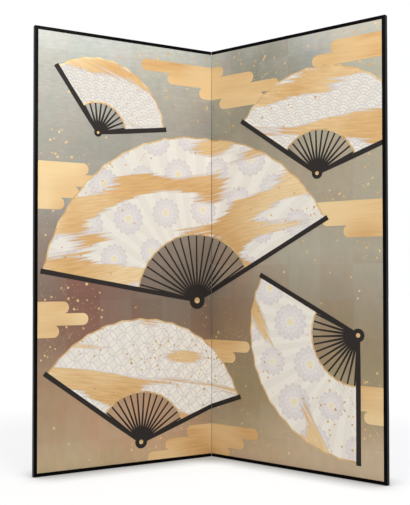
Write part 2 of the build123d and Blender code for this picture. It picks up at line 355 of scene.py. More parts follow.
TARNISH_AND_LIGHT = {
    Side.LEFT: Tarnish(
        (
            *((0.0, "BDA885"), (0.07, "B19B7F"), (0.17, "A88D71"), (0.29, "89715F")),
            *((0.4, "7D7063"), (0.52, "897B6F"), (0.62, "929088"), (0.74, "949187")),
            *((0.85, "9A978F"), (0.93, "A09F97"), (1.0, "A8AAA4")),
        ),
        (
            # The patch high by the fold brightens the leaf as a painted highlight; the other two tint it
            # rose
            TonePatch((-560.0, 700.0), (340.0, 420.0), (1.0, 0.68, 0.68)),
            TonePatch((-330.0, 170.0), (420.0, 260.0), (1.06, 0.86, 0.8)),
            TonePatch((-200.0, 1620.0), (300.0, 420.0), (1.17, 1.14, 1.1)),
        ),
        0.08,
    ),
    Side.RIGHT: Tarnish(
        (
            *((0.0, "C4AC91"), (0.09, "BBA78D"), (0.18, "9C8B6C"), (0.29, "93836A")),
            *((0.4, "9A8E7C"), (0.5, "A59E8D"), (0.71, "A29682")),
            *((0.82, "A29C8B"), (0.91, "AAA596"), (1.0, "BBB6AD")),
        ),
        (
            # The two patches high by the fold, at 280 and 100 across, are painted shade; the others darken
            # and tint the leaf
            TonePatch((280.0, 1600.0), (340.0, 460.0), (0.66, 0.68, 0.67)),
            TonePatch((90.0, 700.0), (330.0, 420.0), (0.96, 0.82, 0.78)),
            TonePatch((200.0, 110.0), (340.0, 260.0), (0.84, 0.84, 0.77)),
            TonePatch((475.0, 1560.0), (120.0, 260.0), (0.83, 0.89, 0.96)),
            TonePatch((100.0, 1690.0), (100.0, 100.0), (0.83, 0.83, 0.82)),
        ),
        0.05,
    ),
}


@dataclass(frozen=True)
class SilverLeaf(Finish):
    """Silver leaf laid in squares over sized paper, tarnished from pale silver to umber and rose, with
    painted reflected light and shade in its tones.
    """

    side: Side
    name: str = "silver_leaf_on_paper"
    square: float = 138.15  # pitch of the squares, which lap by about 2 mm
    across: float = 97.2  # first upright lap, from the fold
    up: float = 117.85  # first level lap, from the floor
    lap: float = 3.0  # drawn wider than the real lap, which is finer than the render shows
    green: tuple[float, ...] = (0.965, 1.0, 0.98, 1.0)  # linear light that cool clouds keep
    warm: tuple[float, ...] = (1.035, 1.0, 0.985, 1.0)
    speck: str = "6E5A45"

    def surface(self) -> dict[str, Any]:
        """Mix the finish.

        Returns:
            What feeds the shader, by input.
        """
        place, toning = on_panel(self.side), TARNISH_AND_LIGHT[self.side]
        z = Node.Z(place)
        starts = ((Node.ABSOLUTE(Node.X(place)), self.across), (z, self.up))
        squares = [Node.DIVIDE(Node.SUBTRACT(value, first), self.square) for value, first in starts]

        # Tone by height, partly tarnish and partly painted reflected light, with its patches of tarnish,
        # painted shade and painted highlight, and clouds
        drift = Node.FADE(Node.MOTTLE(place, 1 / 380.0, 2.0), 0.25, 0.75, -0.035, 0.035)
        colour = Node.RAMP(Node.MULTIPLY_ADD(z, 1 / PANEL_HEIGHT, drift), stops=toning.tones)
        for tone_patch in toning.tone_patches:
            colour = tone_patch.over(colour, place)
        clouds = Node.FADE(Node.MOTTLE(place, 1 / 95.0, 3.0), 0.35, 0.65)
        colour = Node.STAIN(1.0, colour, Node.TINT(clouds, self.green, self.warm))

        # Each square a little off in tone, least near the floor
        cell = Node.JOIN(*(Node.FLOOR(v) for v in squares), 3.0 + self.side.value)
        chance, cast = Node.CHANCE(cell), Node.X(Node.CHANCES(cell))
        colour = Node.HUE(
            Node.FADE(cast, 0.0, 1.0, 0.494, 0.506),
            Node.FADE(cast, 0.0, 1.0, 1.1, 0.9),
            Node.FADE(chance, 0.0, 1.0, 0.952, 1.038),
            Node.FADE(z, 100.0, 700.0, 0.45, 1.0),
            colour,
        )

        # Wear of the leaf, fine creases near the top, laps and specks of tarnish
        mottle = Node.MOTTLE(Node.SCALED(place, (30.0, 30.0, 52.0)), 1.0, 4.0)
        colour = Node.STAIN(1.0, colour, Node.FADE(mottle, 0.3, 0.72, 0.945, 1.045))
        creases = Node.MOTTLE(Node.SCALED(place, (34.0, 34.0, 10.0)), 1.0, 3.0)
        creases = Node.FADE(creases, 0.3, 0.7, 1.0 - toning.creases, 1.0 + toning.creases)
        colour = Node.STAIN(Node.FADE(z, 950.0, 1550.0), colour, creases)
        laps = self.laps(squares, place)
        kept = Node.FADE(Node.MOTTLE(place, 1 / 210.0, 0.0), 0.42, 0.58, 0.92, 1.07)
        colour = Node.STAIN(laps, colour, kept)
        specks = Node.MULTIPLY(Node.BELOW(Node.CELLS(place, 1 / 46.0), 0.028), 0.45)

        wrinkle = Node.MOTTLE(Node.SCALED(place, (5.0, 5.0, 9.0)), 1.0, 3.0)
        return {
            "Base_Color": Node.TINT(specks, colour, self.speck),
            "Metallic": 0.72,
            "Roughness": Node.FADE(mottle, 0.3, 0.7, 0.4, 0.5),
            "Normal": Node.BUMP(0.16, 0.0004, Node.MULTIPLY_ADD(laps, 0.6, wrinkle)),
        }

    def laps(self, squares: list[Step], place: Step) -> Step:
        """Mask the laps between squares, which waver a little and fade in places.

        Args:
            squares: Place across and up, in squares.
            place: Place on the panel.

        Returns:
            A mask.
        """
        waver = Node.FADE(Node.MOTTLE(place, 1 / 55.0, 1.0), 0.0, 1.0, -0.012, 0.012)
        edges = [Node.FRACT(Node.ADD(square, waver)) for square in squares]
        masks = [Node.BELOW(edge, self.lap / self.square) for edge in edges]
        fading = Node.FADE(Node.MOTTLE(place, 1 / 90.0, 1.0), 0.35, 0.6, 0.3, 1.0)
        return Node.MULTIPLY(Node.LARGER(*masks), fading)


class Ornament(Enum):
    """Traditional patterns that a fan's leaf may carry."""

    WAVES = "waves"
    CIRCLES = "linked_circles"
    ROSETTES = "rosettes"


@dataclass(frozen=True)
class ShellWhite(Finish):
    """Shell white on paper: thick, dead matt and warm, with drawn ornament and brushed gold."""

    ornament: Ornament
    seed: float  # moves the brushed gold about, so that no two leaves are alike
    gold: float = 0.5  # how far the brushed gold spreads over the leaf, from 0 to 1
    turned: bool = False  # the side of a pleat that turns from the light
    name: str = "shell_white_paint"
    white: str = "F1ECE2"
    shade: str = "EAE4DA"
    brushed: str = "EAE4D8"
    shadow_fringe: str = "CFC2BE"  # round the gold: a painted shadow edge
    rich: tuple[str, str] = ("CCA066", "DBB37A")  # streaks of thick gold
    thin: tuple[str, str] = ("DFC08E", "EAD2A6")
    line: str = "D3CDCC"
    parting: str = "C4BBBC"
    petal: str = "F4EFE9"
    yellow: str = "EEE2B8"

    def surface(self) -> dict[str, Any]:
        """Mix the finish.

        Returns:
            What feeds the shader, by input.
        """
        brush = Node.MOTTLE(Node.SCALED(FLAT, (90.0, 14.0, 1.0)), 1.0, 3.0)
        base = self.shade if self.turned else self.white
        colour = Node.TINT(Node.FADE(brush, 0.3, 0.7, 0.0, 0.4), base, self.brushed)
        draw = {
            Ornament.WAVES: self.waves,
            Ornament.CIRCLES: self.circles,
            Ornament.ROSETTES: self.rosettes,
        }[self.ornament]
        mist, edge = self.mist(), 0.8 - 0.22 * self.gold
        # A greyer ring round the gold: painted shadow
        shadow_edge = Node.FADE(mist, edge - 0.03, edge - 0.012, 0.0, 0.55)
        colour = Node.TINT(shadow_edge, draw(colour), self.shadow_fringe)
        mask = Node.FADE(mist, edge, edge + 0.014)
        streaks = Node.FADE(Node.MOTTLE(Node.SCALED(FLAT, (80.0, 6.0, 1.0)), 1.0, 3.0), 0.35, 0.65)
        thinness = Node.FADE(Node.MOTTLE(HERE, 1 / 420.0, 1.0), 0.4, 0.62)
        gold = Node.TINT(thinness, *(Node.TINT(streaks, *pair) for pair in (self.rich, self.thin)))
        return {
            "Base_Color": Node.TINT(mask, colour, gold),
            "Roughness": Node.FADE(mask, 0.0, 1.0, 0.86, 0.52),
            "Metallic": Node.MULTIPLY(mask, 0.3),
            "Normal": Node.BUMP(0.1, 0.0002, Node.MOTTLE(FLAT, 1 / 1.6, 2.0)),
        }

    def mist(self) -> Step:
        """Give the thickness of the gold mist, brushed level with dry, streaky ends.

        Returns:
            A number, larger where there is more gold.
        """
        moved = Node.MOVED(FLAT, (733.0 * self.seed, 419.0 * self.seed, 0.0))
        cloud = Node.MOTTLE(Node.SCALED(moved, (390.0, 105.0, 1.0)), 1.0, 0.0)
        streak = Node.MOTTLE(Node.SCALED(moved, (210.0, 9.0, 1.0)), 1.0, 2.0)
        return Node.MULTIPLY_ADD(streak, 0.24, cloud)

    def waves(self, colour: Step) -> Step:
        """Draw ranks of waves: rings within rings, each rank over the one behind it.

        Args:
            colour: Colour so far.

        Returns:
            The colour with the drawing.
        """
        radius = 38.0
        rank = Node.FLOOR(Node.DIVIDE(RISE, radius / 2))
        far: Any = radius
        for nearer in (1.0, 0.0, -1.0):
            this = Node.ADD(rank, nearer)
            across = Node.WRAP(Node.MULTIPLY_ADD(this, -radius, ACROSS), radius, -radius)
            rise = Node.MULTIPLY_ADD(this, -radius / 2, RISE)
            away = Node.LENGTH(Node.JOIN(across, rise))
            far = Node.CHOOSE(Node.BELOW(away, radius), far, away)
        ring = Node.FRACT(Node.DIVIDE(far, radius / 3))
        return Node.TINT(Node.MULTIPLY(Node.ABOVE(ring, 0.72), 0.85), colour, self.line)

    def circles(self, colour: Step) -> Step:
        """Draw linked circles over the colour."""
        drawn = Node.MULTIPLY(linked_circles(ACROSS, RISE, 33.0, 1.5), 0.9)
        return Node.TINT(drawn, colour, self.line)

    def rosettes(self, colour: Step) -> Step:
        """Draw round flowers of many petals, of several sizes, scattered in loose rows.

        Args:
            colour: Colour so far.

        Returns:
            The colour with the drawing.
        """
        pitch, row_height, petals = 176.0, 152.0, 7.0
        row = Node.FLOOR(Node.DIVIDE(RISE, row_height))
        shifted = Node.MULTIPLY_ADD(row, -0.5 * pitch, ACROSS)
        column = Node.FLOOR(Node.DIVIDE(shifted, pitch))
        luck = Node.CHANCES(Node.JOIN(column, row, self.seed))
        size = Node.FADE(Node.X(luck), 0.0, 1.0, 0.72, 1.05)
        offsets = []
        for value, number, step, chance, stray in (
            (shifted, column, pitch, Node.Y(luck), 12.0),
            (RISE, row, row_height, Node.Z(luck), 9.0),
        ):
            moved = Node.FADE(chance, 0.0, 1.0, -stray, stray)
            middle = Node.MULTIPLY_ADD(Node.ADD(number, 0.5), step, moved)
            offsets.append(Node.DIVIDE(Node.SUBTRACT(value, middle), size))
        away = Node.LENGTH(Node.JOIN(*offsets))
        angle = Node.ARCTAN2(*reversed(offsets))
        for reach, turn, tone in ((72.0, 0.0, "D9D2D1"), (52.0, 0.5, "DED8D6"), (31.0, 0.0, "E5DED8")):
            lobe = Node.ABSOLUTE(Node.COSINE(Node.MULTIPLY_ADD(angle, petals, turn * math.pi)))
            edge = Node.MULTIPLY_ADD(lobe, reach * 0.17, reach * 0.83)
            petal = Node.TINT(Node.POWER(Node.DIVIDE(away, reach), 1.6), self.petal, tone)
            lines = Node.LARGER(Node.BELOW(Node.MULTIPLY(lobe, away), 2.6), Node.NEAR(away, edge, 1.4))
            petal = Node.TINT(Node.MULTIPLY(lines, 0.75), petal, self.parting)
            colour = Node.TINT(Node.BELOW(away, edge), colour, petal)
        return Node.TINT(Node.BELOW(away, 13.0), colour, self.yellow)


@dataclass(frozen=True)
class BrushedGold(Finish):
    """Gold powder in glue, laid with a broad brush: soft ochre sheen, level streaks."""

    name: str = "gold_powder_paint"
    light: str = "DCB67F"
    dark: str = "C99C62"
    thin: str = "E8CF9F"

    def surface(self) -> dict[str, Any]:
        """Mix the finish.

        Returns:
            What feeds the shader, by input.
        """
        streaks = Node.MOTTLE(Node.SCALED(FLAT, (130.0, 6.0, 1.0)), 1.0, 3.0)
        clouds = Node.MOTTLE(Node.SCALED(FLAT, (260.0, 70.0, 1.0)), 1.0, 1.0)
        gold = Node.TINT(Node.FADE(Node.ADD(streaks, clouds), 0.75, 1.25), self.dark, self.light)
        thinness = Node.FADE(Node.MOTTLE(HERE, 1 / 420.0, 1.0), 0.42, 0.62, 0.0, 0.75)
        return {
            "Base_Color": Node.TINT(thinness, gold, self.thin),
            "Metallic": 0.4,
            "Roughness": Node.FADE(streaks, 0.3, 0.7, 0.42, 0.56),
            "Normal": Node.BUMP(0.15, 0.0002, Node.MOTTLE(FLAT, 1 / 1.4, 2.0)),
        }


@dataclass(frozen=True)
class GoldLeaf(Finish):
    """Cut gold leaf: thin, bright and slightly creased."""

    name: str = "cut_gold_leaf"
    gold: str = "C19B66"
    pale: str = "DBBE8C"

    def surface(self) -> dict[str, Any]:
        """Mix the finish.

        Returns:
            What feeds the shader, by input.
        """
        tone = Node.FADE(Node.MOTTLE(FLAT, 1 / 38.0, 1.0), 0.35, 0.65)
        return {
            "Base_Color": Node.TINT(tone, self.gold, self.pale),
            "Metallic": 0.6,
            "Roughness": 0.38,
            "Normal": Node.BUMP(0.2, 0.0002, Node.MOTTLE(FLAT, 1 / 2.5, 2.0)),
        }


@dataclass(frozen=True)
class BlackPaint(Finish):
    """Lacquer black painted on paper: near black, a little brown, satin, with fine brush lines."""

    name: str = "satin_black_paint"
    black: str = "161110"
    brown: str = "241C17"

    def surface(self) -> dict[str, Any]:
        """Mix the finish.

        Returns:
            What feeds the shader, by input.
        """
        lines = Node.MOTTLE(Node.SCALED(FLAT, (1.6, 90.0, 1.0)), 1.0, 2.0)
        return {
            "Base_Color": Node.TINT(Node.FADE(lines, 0.35, 0.65), self.black, self.brown),
            "Roughness": Node.FADE(lines, 0.3, 0.7, 0.45, 0.6),
            "Specular_IOR_Level": 0.25,
            "Normal": Node.BUMP(0.12, 0.0002, lines),
        }


@dataclass(frozen=True)
class PlainPaper(Finish):
    """Handmade paper: matt, with long soft fibres and a faint cloudiness."""

    name: str = "underlay_paper"
    colour: str = "E6DECB"
    fibre: str = "D6CBB2"

    def surface(self) -> dict[str, Any]:
        """Mix the finish.

        Returns:
            What feeds the shader, by input.
        """
        bent = Node.BENT(Node.SWIRL(HERE, 1 / 30.0, 1.0), (24.0,) * 3, HERE)
        fibres = Node.MOTTLE(Node.SCALED(bent, (2.0, 2.0, 26.0)), 1.0, 3.0)
        share = Node.FADE(Node.MULTIPLY(fibres, Node.MOTTLE(HERE, 1 / 60.0, 2.0)), 0.15, 0.4)
        return {
            "Base_Color": Node.TINT(share, self.colour, self.fibre),
            "Roughness": 0.82,
            "Normal": Node.BUMP(0.25, 0.0003, fibres),
        }


@dataclass(frozen=True)
class HingePaper(Finish):
    """Tough brown paper of the hinge, silvered where it comes to the front: a thin dull line at the fold,
    darkened at middle heights as painted shade of the slit.
    """

    name: str = "silvered_hinge_paper"
    colour: str = "7C745F"
    fibre: str = "5F5846"
    silvered: float = 1.8  # how far in from the corner line the silver goes
    tarnish: Tones = (
        *((0.0, "8A7F68"), (0.15, "7C745F"), (0.35, "544B3E")),
        *((0.8, "544B3E"), (0.92, "A09F94"), (1.0, "B4B4AB")),
    )  # from the floor up: share of the panel's height, and colour. The dark middle heights are painted shade of the slit at the fold; the pale top follows the leaf's tones

    def surface(self) -> dict[str, Any]:
        """Mix the finish.

        Returns:
            What feeds the shader, by input.
        """
        fibres = Node.MOTTLE(Node.SCALED(HERE, (2.0, 2.0, 26.0)), 1.0, 3.0)
        paper = Node.TINT(Node.FADE(fibres, 0.4, 0.6), self.colour, self.fibre)
        # Silver tone by height, with painted shade of the slit at middle heights
        silver = Node.RAMP(Node.DIVIDE(Node.Z(HERE), PANEL_HEIGHT), stops=self.tarnish)
        off_line = Node.TIMES(Node.MOVED(HERE, tuple(-FOLD_LINE / MM)), (1.0, 1.0, 0.0))
        return {
            "Base_Color": Node.TINT(Node.BELOW(Node.LENGTH(off_line), self.silvered), paper, silver),
            "Roughness": 0.55,
            "Metallic": 0.35,
            "Normal": Node.BUMP(0.25, 0.0003, fibres),
        }


@dataclass(frozen=True)
class BackPaper(Finish):
    """Blue-grey paper for the backs, printed with linked circles in pale mica that catch the light."""

    side: Side
    name: str = "mica_printed_paper"
    ground: str = "5F6F78"
    cloud: str = "6C7C82"
    fibre: str = "7B8A8E"
    mica: str = "94A0A0"
    seam: str = "4C5A62"
    radius: float = 46.0
    line: float = 1.9
    dot: float = 5.0
    sheet: float = 424.0  # height of one printed sheet of paper
    seam_height: float = 4.0

    def surface(self) -> dict[str, Any]:
        """Mix the finish.

        Returns:
            What feeds the shader, by input.
        """
        place = on_panel(self.side)
        x, z = Node.X(place), Node.Z(place)
        sides = [Node.WRAP(v, self.radius, -self.radius) for v in (x, z)]
        dots = Node.BELOW(Node.LENGTH(Node.JOIN(*sides)), self.dot)
        wear = Node.FADE(Node.MOTTLE(place, 1 / 26.0, 4.0), 0.35, 0.6, 0.35, 0.9)
        rings = linked_circles(x, z, self.radius, self.line)
        printed = Node.MULTIPLY(Node.LARGER(rings, dots), wear)
        fibres = Node.MOTTLE(Node.SCALED(place, (3.0, 3.0, 18.0)), 1.0, 4.0)
        colour = Node.TINT(Node.MOTTLE(place, 1 / 180.0, 3.0), self.ground, self.cloud)
        colour = Node.TINT(Node.FADE(fibres, 0.4, 0.7, 0.0, 0.35), colour, self.fibre)
        seam = Node.BELOW(Node.FRACT(Node.DIVIDE(z, self.sheet)), self.seam_height / self.sheet)
        colour = Node.TINT(Node.MULTIPLY(seam, 0.45), colour, self.seam)
        return {
            "Base_Color": Node.TINT(printed, colour, self.mica),
            "Roughness": Node.FADE(printed, 0.0, 1.0, 0.85, 0.42),
            "Normal": Node.BUMP(0.2, 0.0003, Node.MULTIPLY_ADD(fibres, 0.7, printed)),
        }


@dataclass(frozen=True)
class PlanedWood(Finish):
    """Planed wood, straight in the grain: pale earlywood with thin darker lines."""

    name: str
    pale: str = "DDBE92"
    dark: str = "C29A68"
    grain: float = 4.0  # from one growth line to the next
    gloss: float = 0.6

    def surface(self) -> dict[str, Any]:
        """Mix the finish.

        Returns:
            What feeds the shader, by input.
        """
        bent = Node.BENT(Node.SWIRL(HERE, 1 / 60.0, 1.0), (9.0,) * 3, HERE)
        lines = Node.MOTTLE(Node.SCALED(bent, (self.grain, self.grain, 140.0)), 1.0, 3.0)
        pores = Node.MOTTLE(Node.SCALED(HERE, (0.9, 0.9, 14.0)), 1.0, 2.0)
        colour = Node.TINT(Node.FADE(lines, 0.42, 0.62), self.pale, self.dark)
        return {
            "Base_Color": Node.TINT(Node.FADE(pores, 0.6, 0.8, 0.0, 0.3), colour, self.dark),
            "Roughness": self.gloss,
            "Normal": Node.BUMP(0.2, 0.0003, pores),
        }


@dataclass(frozen=True)
class MattFloor(Finish):
    """A matt white floor that stays white to the eye where nothing shades it."""

    name: str = "matt_white_floor"
    white: tuple[str, str] = ("F2F2F1", "F5F5F4")
    unseen: str = "959595"  # its tone to all other light, of which it throws less back
    foot: float = 0.18  # own light where the object stands; dimmed there by ambient occlusion as a painted contact shadow, which also lets its real shadow show
    near: float = 0.74  # own light round the object
    reach: float = 0.16  # how far from the object the dark at its foot goes, in metres

    def surface(self) -> dict[str, Any]:
        """Mix the finish.

        Returns:
            What feeds the shader, by input.
        """
        glow = Node.EASE(Node.LENGTH(Node.PLACE()), 1.0, 3.0, self.near, 1.0)
        # Ambient occlusion dims the floor's own light round the object: a painted contact shadow
        open_air = Node.FADE(Node.SHELTER(self.reach), 0.5, 0.95, self.foot / self.near, 1.0)
        pale = Node.TINT(Node.FADE(Node.MOTTLE(HERE, 1 / 3.0, 1.0), 0.3, 0.7), *self.white)
        return {
            "Base_Color": Node.TINT(SEEN, pale, self.unseen),
            "Roughness": 0.9,
            "Specular_IOR_Level": 0.0,
            "Emission_Color": "FFFFFF",
            "Emission_Strength": Node.MULTIPLY(SEEN, Node.MULTIPLY(glow, open_air)),
        }


# ---- Making pieces ----


def put_object(name: str, data: bpy.types.ID) -> bpy.types.Object:
    """Add an object to the scene.

    Args:
        name: Its name.
        data: Its mesh, light or camera.

    Returns:
        The object.
    """
    thing = bpy.data.objects.new(name, data)
    bpy.context.scene.collection.objects.link(thing)
    return thing


def put_mesh(mesh: Mesh, name: str, finishes: list[Material]) -> bpy.types.Object:
    """Add an object with its finishes to the scene.

    Args:
        mesh: Its shape, which is freed.
        name: Its name.
        finishes: Materials, in the order of the faces' material numbers.

    Returns:
        The object.
    """
    data = bpy.data.meshes.new(name)
    mesh.to_mesh(data)
    mesh.free()
    for finish in finishes:
        data.materials.append(finish)
    return put_object(name, data)


def put_piece(
    mesh: Mesh,
    name: str,
    side: Side,
    finishes: list[Material],
    stands_for: tuple[str, ...] = (),
) -> None:
    """Place a mesh from panel space on its panel and make it a piece.

    Args:
        mesh: The shape in panel space, which is freed.
        name: The piece's name, without its side.
        side: The panel that carries it.
        finishes: Materials, in the order of the faces' material numbers.
        stands_for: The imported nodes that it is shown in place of.
    """
    bmesh.ops.recalc_face_normals(mesh, faces=mesh.faces)
    bmesh.ops.transform(mesh, matrix=side.placing(), verts=mesh.verts)
    piece = put_mesh(mesh, f"{side.prefix}_{name}", finishes)
    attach(piece, f"{side.prefix}_panel")
    if stands_for:
        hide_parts(*stands_for)
    LOG.info("%s: %d faces", piece.name, len(piece.data.polygons))


def dress(node: str, finish: Material) -> None:
    """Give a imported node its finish.

    Args:
        node: Name of the node.
        finish: Its material.
    """
    piece = frame["nodes"][node]
    for slot in piece.material_slots:
        slot.material = finish
    if not piece.material_slots:
        piece.data.materials.append(finish)


@dataclass
class FrameBars:
    """The lacquered bars round a panel: two rails and the outer stile, mitred where they meet."""

    side: Side
    ease: float = 0.8  # rounding of the long edges
    arris: float = 0.12  # at the mitres, where it shows as a hairline
    fold_gap: float = 0.15  # the rails' ends all but touch
    end_area: float = 50.0  # the faces at a bar's ends are larger than this, in square millimetres

    def make(self, lacquer: Material) -> None:
        """Make the three bars.

        Args:
            lacquer: Their finish.
        """
        inner_x, inner_y = PANEL_WIDTH - FRAME_FACE, PANEL_HEIGHT - FRAME_FACE
        foot, head = (PANEL_WIDTH, 0), (PANEL_WIDTH, PANEL_HEIGHT)
        inner_foot, inner_head = (inner_x, FRAME_FACE), (inner_x, inner_y)
        outlines = {
            "frame_bottom_rail": ((self.fold_gap, 0), foot, inner_foot, (self.fold_gap, FRAME_FACE)),
            "frame_top_rail": ((self.fold_gap, PANEL_HEIGHT), head, inner_head, (self.fold_gap, inner_y)),
            "frame_outer_stile": (foot, head, inner_head, inner_foot),
        }
        for name, outline in outlines.items():
            node = f"{self.side.prefix}_{name}"
            put_piece(self.bar(outline), f"{name}_lacquered", self.side, [lacquer], (node,))

    def bar(self, outline: tuple[tuple[float, float], ...]) -> Mesh:
        """Extrude a bar from its outline and round its edges.

        Args:
            outline: Corners on the panel's face, the first two at the outer side.

        Returns:
            The bar in panel space.
        """
        mesh = bmesh.new()
        corners = [mesh.verts.new((self.side.value * x, y, FRAME_FRONT)) for x, y in outline]
        mesh.faces.new(corners)
        along = (corners[1].co - corners[0].co).normalized()
        body = bmesh.ops.extrude_face_region(mesh, geom=mesh.faces[:])["geom"]
        moved = [v for v in body if isinstance(v, bmesh.types.BMVert)]
        bmesh.ops.translate(mesh, verts=moved, vec=(0, 0, -FRAME_DEPTH))
        for chosen, offset, segments in ((self.runs_along, self.ease, 5), (self.at_end, self.arris, 1)):
            edges = [edge for edge in mesh.edges if chosen(edge, along)]
            style = {"segments": segments, "profile": 0.5, "affect": "EDGES", "material": -1}
            bmesh.ops.bevel(mesh, geom=edges, offset=offset, **style)
            mesh.normal_update()
        return mesh

    def runs_along(self, edge: bmesh.types.BMEdge, along: Vector) -> bool:
        """Say whether an edge runs the length of the bar."""
        return abs((edge.verts[1].co - edge.verts[0].co).normalized().dot(along)) > 0.999

    def at_end(self, edge: bmesh.types.BMEdge, along: Vector) -> bool:
        """Say whether an edge goes round an end of the bar."""
        across = [face for face in edge.link_faces if abs(face.normal.dot(along)) > 0.5]
        return sum(face.calc_area() > self.end_area for face in across) == 1


# ---- The painting ----


class PaintLayer:
    """Shapes cut out flat in panel space, then trimmed to a panel and given the height of their paint."""

    fold_gap: float = 0.6  # bare beside the fold
    frame_gap: float = 0.1  # bare inside the frame
    root: float = 0.05  # how deep the paint sits in the sheet

    def __init__(self) -> None:
        """Start with nothing."""
        self.mesh = bmesh.new()
        self.mesh.loops.layers.uv.new("flat")

    def take(self, shape: Mesh, matrix: Matrix, top: float, finish: int = 0) -> None:
        """Add a flat shape.

        Args:
            shape: The shape about its own origin, which is freed.
            matrix: Its place on the screen.
            top: Height of its face above the sheet, to which the shape's own heights are added.
            finish: Number of its material, or -1 to keep its faces' own.
        """
        own = shape.loops.layers.uv.new("flat")
        for face in shape.faces:
            if finish >= 0:
                face.material_index = finish
            for loop in face.loops:
                loop[own].uv = loop.vert.co.xy
        bmesh.ops.transform(shape, matrix=Matrix.Translation((0, 0, top)) @ matrix, verts=shape.verts)
        data = bpy.data.meshes.new("cutting")
        shape.to_mesh(data)
        shape.free()
        self.mesh.from_mesh(data)
        bpy.data.meshes.remove(data)

    def on(self, side: Side) -> Mesh | None:
        """Trim to one panel and close the shapes into solids.

        Args:
            side: The panel.

        Returns:
            Closed solids in panel space, or None where nothing is left.
        """
        part = self.mesh.copy()
        rim = FRAME_FACE + self.frame_gap
        for point, outward in (
            ((side.value * self.fold_gap, 0, 0), (-side.value, 0, 0)),
            ((side.value * (PANEL_WIDTH - rim), 0, 0), (side.value, 0, 0)),
            ((0, rim, 0), (0, -1, 0)),
            ((0, PANEL_HEIGHT - rim, 0), (0, 1, 0)),
        ):
            everything = part.verts[:] + part.edges[:] + part.faces[:]
            cut = {"dist": 1e-4, "plane_co": point, "plane_no": outward, "clear_outer": True}
            bmesh.ops.bisect_plane(part, geom=everything, **cut)
        if not part.faces:
            part.free()
            return None
        low = part.verts[:]
        raised = bmesh.ops.extrude_face_region(part, geom=part.faces[:], use_keep_orig=True)["geom"]
        for vert in (v for v in raised if isinstance(v, bmesh.types.BMVert)):
            vert.co.z += SHEET_FRONT
        for vert in low:
            vert.co.z = SHEET_FRONT - self.root
        return part


class Ground(Enum):
    """What scattered gold may lie on."""

    SILVER = "bare_silver"
    LEAF = "leaf_of_a_fan"
    TAKEN = "sticks_or_edges"


@dataclass
class Palette:
    """The finishes that the whole painting shares."""

    gold_paint: Material = field(default_factory=BrushedGold().material)
    gold_leaf: Material = field(default_factory=GoldLeaf().material)
    black: Material = field(default_factory=BlackPaint().material)


